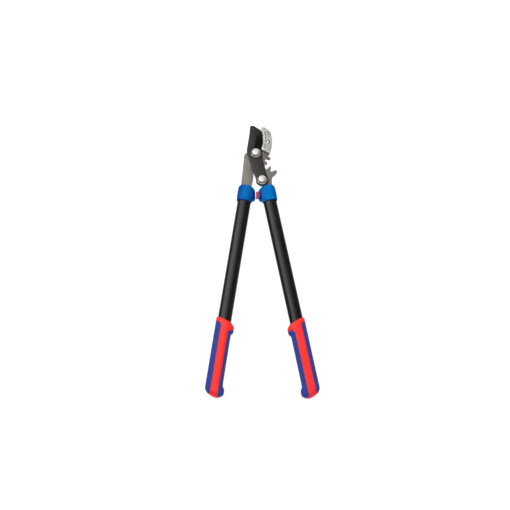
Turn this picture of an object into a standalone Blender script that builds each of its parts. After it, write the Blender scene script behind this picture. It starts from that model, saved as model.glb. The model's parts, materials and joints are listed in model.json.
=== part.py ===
"""Two-handed geared anvil lopper, closed and lying flat.

+Y runs from the grips to the jaw, and +Z is the front face.
"""

import math

import bmesh
import bpy

MM = 0.001

# Pivots. Outlines of the head are drawn from the main pivot, in millimetres.
MAIN_PIVOT = (-13.5, 247.54)
LOWER_PIVOT = (13.96, -66.03)
TAIL_RADIUS = 14.0

# Layers along Z, in millimetres above the ground.
MID = 15.0
PLATE_Z = (12.5, 17.5)
WASHER_Z = (17.75, 18.25)
BLADE_Z = (18.5, 22.5)
ANVIL_Z = (17.8, 26.2)
HEAD_Z = 22.8

# Gear sectors: the hook plate's about the main pivot, the arm's about the lower one.
MODULE = 4.5
HOOK_TEETH = 14
ARM_TEETH = 16
TOOTH_THICKNESS = 6.5
PRESSURE_ANGLE = math.radians(20)
HOOK_RADII = (24.9, 35.0)
ARM_RADII = (31.2, 41.6)
HOOK_FIRST_TOOTH = -96.15
ARM_FIRST_TOOTH = 39.0

# The broad back of the arm's end tooth, as (radius, degrees) about the lower pivot.
HEEL = ((31.5, 27.0), (36.4, 29.8), (39.6, 32.2), (41.2, 34.3), (41.6, 36.6))

# Handles: where each handle's own frame sits from the main pivot, and how far it is turned.
HANDLE_ORIGIN = {"left": (-25.74, -111.46), "right": (30.54, -111.49)}
HANDLE_TURN = {"left": math.radians(-8.715), "right": math.radians(11.557)}
INWARD = {"left": 1, "right": -1}

# Tube section and length, along the handle's own Y.
TUBE_HALF = (15.0, 10.0)
TUBE_WALL = 1.5
TUBE_TOP = 21.0
TUBE_END = -428.0
TANG_HALF = 11.0
TANG_END = -14.0
PIN_AT = (14.2, 1.6)
PIN_RADIUS = 3.0

# Grip: stations down the handle as (along, shear, outer side, inner side, half thickness).
GRIP = (
    (-283.1, -0.31, -16.4, 16.0, 11.9),
    (-285.0, -0.28, -17.9, 18.6, 13.6),
    (-288.3, -0.24, -18.3, 21.4, 14.5),
    (-292.6, -0.14, -18.2, 23.0, 15.0),
    (-298.6, -0.07, -18.0, 23.8, 15.2),
    (-305.4, -0.02, -18.0, 23.6, 15.2),
    (-309.0, -0.01, -18.0, 22.8, 15.3),
    (-312.2, 0.0, -18.0, 20.2, 15.4),
    (-316.0, 0.0, -18.0, 18.9, 15.5),
    (-345.0, 0.0, -17.9, 19.0, 15.6),
    (-414.0, 0.0, -17.7, 19.3, 15.6),
    (-425.4, -0.05, -17.7, 19.9, 15.6),
    (-428.9, -0.07, -17.7, 21.6, 15.6),
    (-431.3, -0.07, -17.7, 23.5, 15.6),
    (-434.1, -0.09, -17.6, 24.3, 15.5),
    (-438.2, -0.13, -17.5, 24.6, 15.5),
    (-442.0, -0.13, -16.1, 24.2, 15.3),
    (-445.2, -0.13, -13.9, 22.2, 14.6),
    (-447.6, -0.13, -11.2, 19.2, 13.4),
    (-449.6, -0.13, -7.2, 16.7, 11.6),
    (-451.2, -0.13, -2.4, 14.3, 9.2),
    (-452.3, -0.13, 1.2, 12.1, 6.4),
    (-452.8, -0.13, 3.8, 10.0, 3.8),
)
GRIP_SHIFT = {"left": 0.0, "right": -5.3}
GRIP_POWER = 2.4
GRIP_FLAT = 15.0
BORE_END = -429.0
STRIPE_CENTRE = {"left": 3.8, "right": 0.75}
STRIPE_HALF = 8.3
PANEL_DEPTH = 1.5
PANEL_CORNER = 5.0
GAP = 0.3

# Where the soft panels start and end; the front stripe lies further out on the right grip.
PANELS = {
    "left": {"outer": (-292.3, -448.4), "inner": (-304.8, -449.8)},
    "right": {"outer": (-292.0, -447.2), "inner": (-303.2, -449.8)},
}

# Collar: stations as (along, outer side, inner side, half thickness).
COLLAR = (
    (-4.8, -16.5, 15.6, 12.2),
    (-3.4, -17.5, 16.3, 13.2),
    (-0.7, -17.9, 17.2, 13.5),
    (0.7, -18.0, 19.1, 13.5),
    (2.0, -18.1, 21.8, 13.5),
    (3.5, -18.3, 23.3, 13.5),
    (6.2, -18.5, 23.8, 13.5),
    (12.0, -18.5, 22.7, 13.5),
    (21.0, -18.4, 20.9, 13.5),
    (26.0, -18.2, 19.4, 13.3),
    (28.8, -17.6, 17.0, 12.8),
    (31.6, -16.1, 13.4, 11.6),
    (33.3, -14.6, 11.5, 9.6),
)
SLOT_SIDE = (-13.8, 10.8)
SLOT_HALF = 2.8
SLOT_START = 21.4
BUMPER_HALF = 7.0

# Fasteners.
BOLT_SHANK = 5.0
BOLT_FLANGE = 11.0
HEX_FLAT = 7.9
HEX_TOP = 9.2
NUT_FLAT = 8.5
NUT_HIGH = 8.0
RIVETS = ((25.7, 48.6, 3.6), (27.6, 26.8, 4.3))

# Two grooves set the anvil's striking rim apart from its body.
GROOVES = (
    ((19.6, 53.0), (21.4, 44.0), (22.2, 35.5), (22.1, 26.0)),
    ((21.6, 20.8), (20.7, 15.5), (19.4, 10.6)),
)

# Where the ground bevel starts, down the blade, and how far and deep its slope runs.
BEVEL_LINE = ((-5.4, 12.5), (-1.6, 30.0), (3.4, 66.0))
BEVEL_REACH = 34.0
BEVEL_DROP = 6.6

COLOURS = {
    "black_blade": ((0.035, 0.034, 0.033), 0.42, 0.6),
    "plate_steel": ((0.24, 0.225, 0.21), 0.45, 0.9),
    "anvil_alloy": ((0.52, 0.52, 0.51), 0.38, 0.9),
    "bright_zinc": ((0.78, 0.77, 0.74), 0.22, 1.0),
    "rivet_steel": ((0.5, 0.5, 0.49), 0.35, 1.0),
    "tube_black": ((0.008, 0.008, 0.008), 0.38, 0.0),
    "collar_blue": ((0.0, 0.13, 0.52), 0.4, 0.0),
    "grip_red": ((1.0, 0.045, 0.04), 0.5, 0.0),
    "grip_blue": ((0.045, 0.07, 0.35), 0.65, 0.0),
    "bumper_red": ((0.75, 0.03, 0.05), 0.6, 0.0),
}


def clear_scene():
    for obj in list(bpy.data.objects):
        bpy.data.objects.remove(obj, do_unlink=True)


def material(name):
    found = bpy.data.materials.get(name)
    if found:
        return found
    colour, roughness, metallic = COLOURS[name]
    made = bpy.data.materials.new(name)
    made.use_nodes = True
    shader = made.node_tree.nodes["Principled BSDF"]
    shader.inputs["Base Color"].default_value = (*colour, 1.0)
    shader.inputs["Roughness"].default_value = roughness
    shader.inputs["Metallic"].default_value = metallic
    made.diffuse_color = (*colour, 1.0)
    return made


def empty(name, place, turn=0.0, parent=None):
    made = bpy.data.objects.new(name, None)
    made.empty_display_size = 0.01
    made.location = (place[0] * MM, place[1] * MM, 0.0)
    made.rotation_euler = (0.0, 0.0, turn)
    made.parent = parent
    bpy.context.scene.collection.objects.link(made)
    return made


def solid(name, points, faces, look, parent, smooth=35):
    """A mesh object from points in millimetres, its faces turned outwards."""
    mesh = bpy.data.meshes.new(name)
    mesh.from_pydata([(x * MM, y * MM, z * MM) for x, y, z in points], [], faces)
    edit = bmesh.new()
    edit.from_mesh(mesh)
    bmesh.ops.recalc_face_normals(edit, faces=edit.faces)
    edit.to_mesh(mesh)
    edit.free()
    obj = bpy.data.objects.new(name, mesh)
    obj.parent = parent
    bpy.context.scene.collection.objects.link(obj)
    if look:
        mesh.materials.append(material(look))
        mesh.shade_smooth()
        mesh.set_sharp_from_angle(angle=math.radians(smooth))
    return obj


def prism(name, outline, layer, look, parent):
    """A flat plate: an outline drawn in X and Y, between two heights."""
    count = len(outline)
    points = [(x, y, layer[0]) for x, y in outline]
    points += [(x, y, layer[1]) for x, y in outline]
    faces = [tuple(range(count)), tuple(range(count, 2 * count))]
    for i in range(count):
        j = (i + 1) % count
        faces.append((i, j, j + count, i + count))
    return solid(name, points, faces, look, parent)


def loft(name, rings, look, parent, ends_closed=True, smooth=35):
    """A surface through rings of equal count, capped at both ends or closed on itself."""
    count = len(rings[0])
    points = [point for ring in rings for point in ring]
    faces = []
    last = len(rings) - 1 if ends_closed else len(rings)
    for k in range(last):
        low = k * count
        high = (k + 1) % len(rings) * count
        for i in range(count):
            j = (i + 1) % count
            faces.append((low + i, low + j, high + j, high + i))
    if ends_closed:
        faces.append(tuple(range(count)))
        start = (len(rings) - 1) * count
        faces.append(tuple(range(start, start + count)))
    return solid(name, points, faces, look, parent, smooth)


def cut(target, cutter):
    cutter.hide_render = True
    cutter.display_type = "WIRE"
    step = target.modifiers.new(cutter.name, "BOOLEAN")
    step.operation = "DIFFERENCE"
    step.solver = "EXACT"
    step.object = cutter


def circle(x, y, radius, count):
    turns = [2 * math.pi * i / count for i in range(count)]
    return [(x + radius * math.cos(a), y + radius * math.sin(a)) for a in turns]


def drill(target, x, y, radius, layer, parent, count=20):
    name = f"cut_{target.name}_{len(target.modifiers)}"
    cut(target, prism(name, circle(x, y, radius, count), layer, None, parent))


def arc(centre, radius, start, end, count):
    """Points of an arc, from one angle to another in degrees."""
    turns = [math.radians(start + (end - start) * i / count) for i in range(count + 1)]
    return [(centre[0] + radius * math.cos(a), centre[1] + radius * math.sin(a)) for a in turns]


def rounded(corners, closed=False, steps=3):
    """A run of corners given as (x, y, radius), each rounded; an open run keeps its two ends sharp."""
    found = []
    count = len(corners)
    for i, (x, y, radius) in enumerate(corners):
        if not closed and i in (0, count - 1):
            found.append((x, y))
            continue
        sides = []
        for px, py, _ in (corners[i - 1], corners[(i + 1) % count]):
            length = math.hypot(px - x, py - y)
            sides.append(((px - x) / length, (py - y) / length))
        (ax, ay), (bx, by) = sides
        half = math.acos(max(-1.0, min(1.0, ax * bx + ay * by))) / 2
        reach = radius / math.tan(half)
        for k in range(steps + 1):
            before, after = reach * (1 - k / steps) ** 2, reach * (k / steps) ** 2
            found.append((x + ax * before + bx * after, y + ay * before + by * after))
    return found


def spline(a, b, c, d, t):
    """One coordinate of a Catmull-Rom spline, between b and c."""
    bend = 2 * a - 5 * b + 4 * c - d
    twist = 3 * b - a - 3 * c + d
    return 0.5 * (2 * b + (c - a) * t + bend * t**2 + twist * t**3)


def smooth_run(points, steps=3):
    """A smooth curve through points."""
    padded = [points[0], *points, points[-1]]
    found = []
    for near in zip(padded, padded[1:], padded[2:], padded[3:]):
        for k in range(steps):
            found.append(tuple(spline(*values, k / steps) for values in zip(*near)))
    return found + [points[-1]]


def polar(centre, radius, degrees):
    return centre[0] + radius * math.cos(math.radians(degrees)), centre[1] + radius * math.sin(math.radians(degrees))


def involute(angle):
    return math.tan(angle) - angle


def tooth(centre, angle, teeth, radii):
    """One involute tooth with a rounded tip and a filleted root, from its clockwise side to the other."""
    pitch = MODULE * teeth / 2
    base = pitch * math.cos(PRESSURE_ANGLE)
    root, tip = radii
    at_pitch = TOOTH_THICKNESS / (2 * pitch) + involute(PRESSURE_ANGLE)
    side = [(root, at_pitch * 1.36), (root + 0.5, at_pitch * 1.16), (root + 1.6, at_pitch * 1.02)]
    for k in range(5):
        radius = max(base, root + 2.2) + (tip - 1.2 - max(base, root + 2.2)) * k / 4
        side.append((radius, at_pitch - involute(math.acos(min(1.0, base / radius)))))
    edge = side[-1][1]
    side += [(tip - 0.35, edge * 0.7), (tip, edge * 0.2)]
    whole = [(r, -h) for r, h in side] + [(r, h) for r, h in reversed(side)]
    mid = math.radians(angle)
    return [(centre[0] + r * math.cos(mid + h), centre[1] + r * math.sin(mid + h)) for r, h in whole]


def sector(centre, first, count, teeth, radii):
    step = 360 / teeth
    return [p for k in range(count) for p in tooth(centre, first + step * k, teeth, radii)]


def from_handle(side, inward, along):
    """A point of a handle's own frame, measured from the main pivot."""
    x0, y0 = HANDLE_ORIGIN[side]
    turn = HANDLE_TURN[side]
    across = inward * INWARD[side]
    x = x0 + across * math.cos(turn) - along * math.sin(turn)
    y = y0 + across * math.sin(turn) + along * math.cos(turn)
    return x, y


def tang(side):
    """The end of a plate inside the collar and the tube, from its outer side to its inner side."""
    places = (
        (-13.3, 37.0),
        (-13.3, 24.0),
        (-TANG_HALF, 19.5),
        (-TANG_HALF, TANG_END + 4),
        (-TANG_HALF + 4, TANG_END),
        (TANG_HALF - 4.5, TANG_END),
        (TANG_HALF - 0.5, TANG_END + 4),
        (TANG_HALF - 0.5, 24.0),
        (10.3, 37.0),
    )
    return [from_handle(side, inward, along) for inward, along in places]


def blade_edge(grow, start, end, count):
    """The blade's cutting edge, an arc, moved outwards by grow."""
    return arc((-42.9, 34.0), 59.5 + grow, start, end, count)


def hook_plate_outline():
    teeth = sector((0, 0), HOOK_FIRST_TOOTH, 4, HOOK_TEETH, HOOK_RADII)
    outline = tang("left")
    outline += [(-7.0, -65.1), (-6.0, -55.3), (-5.6, -48.0), (-6.6, -40.0), (-8.8, -31.0)]
    outline += teeth
    outline += [(25.9, -5.4), (27.4, -3.4), (29.9, -1.6), (31.2, 1.6), (33.0, 8.0), (34.7, 14.6)]
    outline += [(35.6, 21.3), (35.9, 30.2), (35.4, 38.0), (34.4, 45.7), (33.0, 50.2), (31.3, 53.3)]
    outline += [(27.0, 56.2), (23.4, 58.2), (21.8, 60.6), (17.2, 62.4), (13.6, 63.2), (13.2, 59.0)]
    outline += blade_edge(1.4, 22.5, -17.0, 10)
    outline += arc((0, 0), 19.8, 42, 164, 12)
    outline += [(-22.2, 2.9), (-25.4, -0.9), (-27.2, -5.8), (-27.9, -16.0)]
    outline += [(-30.15, -40.5), (-32.9, -65.1)]
    return outline


def arm_plate_outline():
    teeth = sector(LOWER_PIVOT, ARM_FIRST_TOOTH, 4, ARM_TEETH, ARM_RADII)
    outline = [(36.2, -65.1), (36.3, -61.0), (36.9, -57.4), (38.7, -54.6)]
    outline += [polar(LOWER_PIVOT, radius, angle) for radius, angle in HEEL]
    outline += teeth[len(teeth) // 8 :]
    outline += [(-0.5, -44.0), (0.2, -52.0)]
    outline += arc(LOWER_PIVOT, 13.6, 165, 205, 4)
    outline += list(reversed(tang("right")))
    return [(x - LOWER_PIVOT[0], y - LOWER_PIVOT[1]) for x, y in outline]


def blade_outline():
    right = smooth_run([(12.4, 11.4), (13.7, 1.0), (16.6, -20.5), (21.8, -43.3), (27.6, -62.0)])
    left = [(0.3, -63.0), (-7.4, -43.3), (-13.6, -21.3), (-20.4, 1.0), (-20.3, 12.0), (-17.4, 32.0)]
    tip = [(12.4, 56.4, 0), (11.6, 57.6, 0.8), (-5.2, 68.7, 3.0), (-13.6, 68.7, 4.0), (-14.6, 51.0, 0)]
    outline = list(reversed(right))
    outline += blade_edge(0, -20.5, 20.6, 12)
    outline += rounded(tip)
    outline += list(reversed(smooth_run(left)))
    outline += arc(LOWER_PIVOT, TAIL_RADIUS, 170, 375, 14)[1:]
    return outline


def anvil_outline():
    """The anvil piece: its inner side faces the cutting edge."""
    outline = [(13.6, 7.5), (30.9, -1.4)]
    outline += smooth_run([(32.7, 2.4), (35.8, 14.6), (36.9, 29.0), (36.3, 38.5), (34.4, 49.0)])
    corners = [(33.6, 51.0, 0), (32.2, 54.1, 2.0), (27.8, 57.4, 3.0), (24.0, 59.2, 1.2)]
    corners += [(22.5, 61.9, 1.5), (17.5, 63.8, 4.0), (12.0, 64.6, 1.5), (12.2, 59.6, 0)]
    outline += rounded(corners)
    outline += blade_edge(0.35, 21.6, -21.2, 14)
    return outline


def bevel_cutter(parent):
    """A wedge that slopes from the bevel line down to the cutting edge."""
    top = BLADE_Z[1] + 0.02
    rings = []
    for x, y in BEVEL_LINE:
        far = (x + BEVEL_REACH, y - 4.0)
        rings.append([(x, y, top), (*far, top - BEVEL_DROP), (*far, top + 6), (x, y, top + 6)])
    return loft("cut_bevel", rings, None, parent)


def groove_outline(run, half):
    """A narrow groove along a run of points."""
    left, right = [], []
    for i, (x, y) in enumerate(run):
        ax, ay = run[max(i - 1, 0)]
        bx, by = run[min(i + 1, len(run) - 1)]
        length = math.hypot(bx - ax, by - ay)
        nx, ny = -(by - ay) / length * half, (bx - ax) / length * half
        left.append((x + nx, y + ny))
        right.append((x - nx, y - ny))
    return right + list(reversed(left))


def hex_reach(angle, flat):
    """How far a hexagon reaches at an angle, from its half width; its corners point along X."""
    within = angle % (math.pi / 3) - math.pi / 6
    return flat / math.cos(within)


def level_ring(radius, z, centre=(0, 0), count=24):
    return [(x, y, z) for x, y in circle(*centre, radius, count)]


def hex_ring(flat, z, crown=0.0, lean=0.0, count=24):
    """A hexagon ring that leans in height where it reaches past the crown, as a chamfer cuts it."""
    found = []
    for i in range(count):
        angle = 2 * math.pi * i / count
        reach = hex_reach(angle, flat)
        found.append((reach * math.cos(angle), reach * math.sin(angle), z + lean * (reach - crown)))
    return found


def flange_bolt(name, parent):
    """A hex flange bolt: shank, flange, and a chamfered hexagon head with a low dome."""
    top = HEAD_Z + HEX_TOP
    crown = HEX_FLAT * 0.9
    rings = [
        level_ring(BOLT_SHANK - 0.8, 0.0),
        level_ring(BOLT_SHANK, 0.8),
        level_ring(BOLT_SHANK, HEAD_Z),
        level_ring(BOLT_FLANGE, HEAD_Z),
        level_ring(BOLT_FLANGE, HEAD_Z + 1.3),
        hex_ring(HEX_FLAT, HEAD_Z + 2.6),
        hex_ring(HEX_FLAT, top - 0.6, crown, -0.65),
        level_ring(crown, top - 0.6),
        level_ring(crown * 0.55, top),
    ]
    return loft(name, rings, "bright_zinc", parent, smooth=25)


def hex_nut(name, parent):
    """A hexagon nut against the back of a plate, open for the shank."""
    high = PLATE_Z[0] - GAP
    low = high - NUT_HIGH
    crown = NUT_FLAT * 0.93
    rings = [
        level_ring(BOLT_SHANK + GAP, high),
        level_ring(crown, high),
        hex_ring(NUT_FLAT, high, crown, -0.6),
        hex_ring(NUT_FLAT, low, crown, 0.6),
        level_ring(crown, low),
        level_ring(BOLT_SHANK + GAP, low),
    ]
    return loft(name, rings, "bright_zinc", parent, ends_closed=False, smooth=25)


def washer(name, parent):
    low, high = WASHER_Z
    profile = ((5.4, low), (10.5, low), (10.5, high), (5.4, high))
    rings = [level_ring(radius, z) for radius, z in profile]
    return loft(name, rings, "rivet_steel", parent, ends_closed=False)


def anvil_rivet(name, place, head, parent):
    """A round-headed rivet sunk in the anvil, closed flat behind the hook plate."""
    seat = ANVIL_Z[1] - 2.6
    profile = (
        (3.4, PLATE_Z[0] - 1.7),
        (3.9, PLATE_Z[0] - 1.2),
        (3.9, PLATE_Z[0] - GAP),
        (2.1, PLATE_Z[0] - GAP),
        (2.1, seat),
        (head - 0.6, seat),
        (head - 0.6, seat + 0.9),
        (head - 1.4, seat + 1.7),
        (head - 2.8, seat + 2.0),
    )
    rings = [level_ring(radius, z, place, 20) for radius, z in profile]
    return loft(name, rings, "rivet_steel", parent, smooth=30)


def power(value, exponent):
    return math.copysign(abs(value) ** exponent, value)


def oval(side, along, half_width, half_thick, angles, exponent=2.3):
    """A ring of a tube's section, round the handle's axis."""
    found = []
    for a in angles:
        across = half_width * power(math.cos(a), 2 / exponent) * INWARD[side]
        found.append((across, along, MID + half_thick * power(math.sin(a), 2 / exponent)))
    return found


def make_tube(side, parent):
    angles = [2 * math.pi * i / 32 for i in range(32)]
    inner = (TUBE_HALF[0] - TUBE_WALL, TUBE_HALF[1] - TUBE_WALL)
    end = TUBE_END + GRIP_SHIFT[side]
    rings = [
        oval(side, TUBE_TOP, *inner, angles),
        oval(side, TUBE_TOP, *TUBE_HALF, angles),
        oval(side, end, *TUBE_HALF, angles),
        oval(side, end, *inner, angles),
    ]
    obj = loft(f"{side}_tube", rings, "tube_black", parent, ends_closed=False, smooth=40)
    for along in PIN_AT:
        drill(obj, 0, along, PIN_RADIUS + GAP, (0, 30), parent, 16)


def make_pins(side, parent):
    """Two cross pins hold each plate's tang in its tube, their ends level with the tube."""
    profile = ((2.5, 5.4), (PIN_RADIUS, 5.9), (PIN_RADIUS, 24.1), (2.5, 24.6))
    for place, along in zip(("upper", "lower"), PIN_AT):
        rings = [level_ring(radius, z, (0, along), 16) for radius, z in profile]
        loft(f"{side}_pin_{place}", rings, "rivet_steel", parent)


def collar_ring(side, station, angles):
    along, outer, inner, thick = station
    middle, half = (outer + inner) / 2, (inner - outer) / 2
    found = []
    for a in angles:
        inward = middle + half * power(math.cos(a), 2 / 2.5)
        arch = 1.2 * max(0.0, 1 - (inward / 15) ** 2) if along < -3 else 0.0
        found.append((inward * INWARD[side], along + arch, MID + thick * power(math.sin(a), 2 / 2.5)))
    return found


def slot_ring(side, along):
    """A rectangle for the plate, with 28 points to match the collar's other rings."""
    low, high = SLOT_SIDE
    corners = ((high, 0), (high, 1), (low, 1), (low, -1), (high, -1), (high, 0))
    steps = (3, 8, 6, 8, 3)
    found = []
    for (x0, z0), (x1, z1), count in zip(corners, corners[1:], steps):
        for k in range(count):
            x, z = x0 + (x1 - x0) * k / count, z0 + (z1 - z0) * k / count
            found.append((x * INWARD[side], along, MID + SLOT_HALF * z))
    return found


def bumper_outline(side, grow):
    """The pad in the right collar's lug; its outer face stands upright beside the other collar."""
    top, bottom, back = 23.4 + grow, 9.6 - grow, 17.6 - grow
    corners = [(26.5 + grow, top), (29.0 + grow, bottom), (back, bottom), (back, top)]
    return rounded([(x * INWARD[side], y, 1.2) for x, y in corners], closed=True)


def make_collar(side, parent):
    angles = [2 * math.pi * i / 28 for i in range(28)]
    rings = [collar_ring(side, station, angles) for station in COLLAR]
    rings.append(slot_ring(side, COLLAR[-1][0]))
    rings.append(slot_ring(side, SLOT_START))
    rings.append(oval(side, SLOT_START, TUBE_HALF[0] + GAP, TUBE_HALF[1] + GAP, angles))
    rings.append(oval(side, COLLAR[0][0], TUBE_HALF[0] + GAP, TUBE_HALF[1] + GAP, angles))
    obj = loft(f"{side}_collar", rings, "collar_blue", parent, ends_closed=False, smooth=40)
    if side == "right":
        pocket = (MID - BUMPER_HALF - GAP, MID + BUMPER_HALF + GAP)
        cut(obj, prism("cut_bumper_pocket", bumper_outline(side, GAP), pocket, None, parent))
        block = (MID - BUMPER_HALF, MID + BUMPER_HALF)
        prism("bumper", bumper_outline(side, 0), block, "bumper_red", parent)
        # The blade's round tail sweeps over the collar's front rim.
        swept = circle(0, 0, TAIL_RADIUS + 2 * GAP, 40)
        cut(obj, prism("cut_tail_clearance", swept, (MID, 40), None, parent.parent))


def grip_station(along):
    """The grip's section at a place along it, between two stations."""
    for high, low in zip(GRIP, GRIP[1:]):
        if high[0] >= along >= low[0]:
            t = (high[0] - along) / (high[0] - low[0])
            return tuple(a + (b - a) * t for a, b in zip(high, low))
    return GRIP[0] if along > GRIP[0][0] else GRIP[-1]


def grip_angle(station, inward, inset):
    """The angle at which the section's front, moved in by inset, crosses a line along the handle."""
    _, _, outer, inner, _ = station
    middle, half = (outer + inner) / 2, (inner - outer) / 2 - inset
    share = max(-0.985, min(0.985, (inward - middle) / half))
    return math.acos(power(share, GRIP_POWER / 2))


def grip_point(side, station, angle, inset):
    along, shear, outer, inner, thick = station
    middle, half = (outer + inner) / 2, (inner - outer) / 2 - inset
    inward = middle + half * power(math.cos(angle), 2 / GRIP_POWER)
    z = (thick - inset) * power(math.sin(angle), 2 / GRIP_POWER)
    flat = GRIP_FLAT - inset
    down = along + GRIP_SHIFT[side] + shear * inward
    return inward * INWARD[side], down, MID + max(-flat, min(flat, z))


def spread(start, end, count):
    return [start + (end - start) * k / count for k in range(count + 1)]


def core_ring(side, station, recess_outer, recess_inner):
    """The red core's ring: two stripes at full size, and two sides set in where the soft panels lie."""
    centre = STRIPE_CENTRE[side]
    low, high = centre - STRIPE_HALF, centre + STRIPE_HALF
    front_in = grip_angle(station, high, 0)
    front_out = grip_angle(station, low, 0)
    step_in = grip_angle(station, high + GAP, recess_inner)
    step_out = grip_angle(station, low - GAP, recess_outer)
    ring = [(a, 0) for a in spread(front_in, front_out, 6)]
    ring += [(a, recess_outer) for a in spread(step_out, 2 * math.pi - step_out, 10)]
    ring += [(a, 0) for a in spread(2 * math.pi - front_out, 2 * math.pi - front_in, 6)]
    ring += [(a, recess_inner) for a in spread(2 * math.pi - step_in, 2 * math.pi + step_in, 10)]
    return [grip_point(side, station, a, inset) for a, inset in ring]


def make_grip(side, parent):
    depth = PANEL_DEPTH + GAP
    places = {station[0] for station in GRIP}
    ends = []
    for top, bottom in PANELS[side].values():
        ends += [top + 0.45, top + 0.15, bottom - 0.15, bottom - 0.45]
    places = sorted(places | set(ends) | {-380.0}, reverse=True)
    rings = []
    for along in places:
        inside = [top + 0.2 > along > bottom - 0.2 for top, bottom in PANELS[side].values()]
        rings.append(core_ring(side, grip_station(along), depth * inside[0], depth * inside[1]))
    angles = [math.pi / 2 + 2 * math.pi * (k - 3) / 36 for k in range(36)]
    start, end = GRIP[0][1], 0.0
    bore = []
    for along, shear in ((BORE_END, end), (GRIP[0][0], start)):
        ring = oval(side, along + GRIP_SHIFT[side], TUBE_HALF[0] + GAP, TUBE_HALF[1] + GAP, angles)
        bore.append([(x, y + shear * x * INWARD[side], z) for x, y, z in ring])
    loft(f"{side}_grip_core", bore + rings, "grip_red", parent, smooth=30)
    make_panel(side, "outer", parent)
    make_panel(side, "inner", parent)


def make_panel(side, which, parent):
    """A soft panel wrapping one side of the grip from the front stripe to the back one."""
    top, bottom = PANELS[side][which]
    edge = STRIPE_CENTRE[side] + (STRIPE_HALF if which == "inner" else -STRIPE_HALF)
    outward = 1 if which == "inner" else -1
    inside = [station[0] for station in GRIP if top > station[0] > bottom]
    near_ends = {top, top - 1.2, top - PANEL_CORNER, bottom}
    places = sorted(near_ends | {-380.0, *inside}, reverse=True)
    rings = []
    for along in places:
        station = grip_station(along)
        from_top = min(top - along, PANEL_CORNER)
        corner = PANEL_CORNER - math.sqrt(PANEL_CORNER**2 - (PANEL_CORNER - from_top) ** 2)
        bound = edge + outward * (GAP + corner)
        ring = []
        for inset, turn in ((0.0, 1), (PANEL_DEPTH, -1)):
            angle = grip_angle(station, bound, inset)
            if which == "inner":
                angles = spread(-angle, angle, 10)
            else:
                angles = spread(angle, 2 * math.pi - angle, 10)
            ring += [grip_point(side, station, a, inset) for a in angles[::turn]]
        rings.append(ring)
    loft(f"{side}_grip_{which}_panel", rings, "grip_blue", parent, smooth=40)


def make_head(main, lower):
    hook = prism("hook_plate", hook_plate_outline(), PLATE_Z, "plate_steel", main)
    arm = prism("arm_plate", arm_plate_outline(), PLATE_Z, "plate_steel", lower)
    blade = prism("blade", blade_outline(), BLADE_Z, "black_blade", main)
    anvil = prism("anvil", anvil_outline(), ANVIL_Z, "anvil_alloy", main)
    through = (0, 30)
    drill(hook, 0, 0, BOLT_SHANK + GAP, through, main)
    drill(blade, 0, 0, BOLT_SHANK + GAP, through, main)
    drill(blade, *LOWER_PIVOT, BOLT_SHANK + GAP, through, main)
    drill(arm, 0, 0, BOLT_SHANK + GAP, through, lower)
    tangs = (("left", hook, main, (0, 0)), ("right", arm, lower, LOWER_PIVOT))
    for side, plate, parent, shift in tangs:
        for along in PIN_AT:
            x, y = from_handle(side, 0, along)
            drill(plate, x - shift[0], y - shift[1], PIN_RADIUS + GAP, through, parent, 16)

    cut(blade, bevel_cutter(main))

    shallow = (ANVIL_Z[1] - 1.2, 30)
    for k, run in enumerate(GROOVES):
        cut(anvil, prism(f"cut_groove_{k}", groove_outline(run, 0.75), shallow, None, main))
    drill(anvil, 17.5, 57.2, 1.3, shallow, main, 12)
    for x, y, radius in RIVETS:
        drill(anvil, x, y, radius, (ANVIL_Z[1] - 2.9, 30), main)
        drill(anvil, x, y, 2.1 + GAP, (10, 30), main, 16)
        drill(hook, x, y, 2.1 + GAP, (10, 20), main, 16)
    for name, (x, y, radius) in zip(("anvil_rivet_upper", "anvil_rivet_lower"), RIVETS):
        anvil_rivet(name, (x, y), radius, main)


def main():
    clear_scene()
    main_axis = empty("main_axis", MAIN_PIVOT)
    lower_axis = empty("lower_axis", LOWER_PIVOT, parent=main_axis)
    make_head(main_axis, lower_axis)
    for name, axis in (("main", main_axis), ("lower", lower_axis)):
        flange_bolt(f"{name}_bolt", axis)
        hex_nut(f"{name}_nut", axis)
        washer(f"{name}_washer", axis)
    for side in ("left", "right"):
        x, y = HANDLE_ORIGIN[side]
        if side == "right":
            x, y = x - LOWER_PIVOT[0], y - LOWER_PIVOT[1]
        axis = lower_axis if side == "right" else main_axis
        frame = empty(f"{side}_handle_frame", (x, y), HANDLE_TURN[side], axis)
        make_tube(side, frame)
        make_pins(side, frame)
        make_collar(side, frame)
        make_grip(side, frame)


main()
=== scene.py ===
"""Looks of a geared anvil lopper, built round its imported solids. Lengths in the tables are millimetres."""

import json
import math

import bmesh
import bpy
from mathutils import Matrix, Vector


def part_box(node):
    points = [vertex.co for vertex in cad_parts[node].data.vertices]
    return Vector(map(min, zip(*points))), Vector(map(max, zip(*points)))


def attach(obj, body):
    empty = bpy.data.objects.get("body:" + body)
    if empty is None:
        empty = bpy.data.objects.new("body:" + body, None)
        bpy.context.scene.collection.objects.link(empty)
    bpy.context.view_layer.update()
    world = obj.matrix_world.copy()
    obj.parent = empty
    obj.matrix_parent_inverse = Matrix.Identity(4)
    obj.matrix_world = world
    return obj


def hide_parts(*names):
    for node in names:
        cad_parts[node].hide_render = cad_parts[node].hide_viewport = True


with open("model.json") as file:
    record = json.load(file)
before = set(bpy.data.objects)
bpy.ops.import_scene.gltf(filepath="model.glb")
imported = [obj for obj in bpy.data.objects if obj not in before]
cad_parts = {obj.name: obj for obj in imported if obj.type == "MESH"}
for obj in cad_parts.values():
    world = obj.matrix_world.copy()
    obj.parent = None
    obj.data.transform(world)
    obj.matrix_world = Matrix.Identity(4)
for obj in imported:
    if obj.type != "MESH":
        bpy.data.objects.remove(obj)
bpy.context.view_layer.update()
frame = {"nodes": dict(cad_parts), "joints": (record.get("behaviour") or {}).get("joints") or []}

MM = 0.001
GAP = 0.3  # room between neighbouring pieces
ROUND = 96  # points round a collar or a bolt
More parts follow.
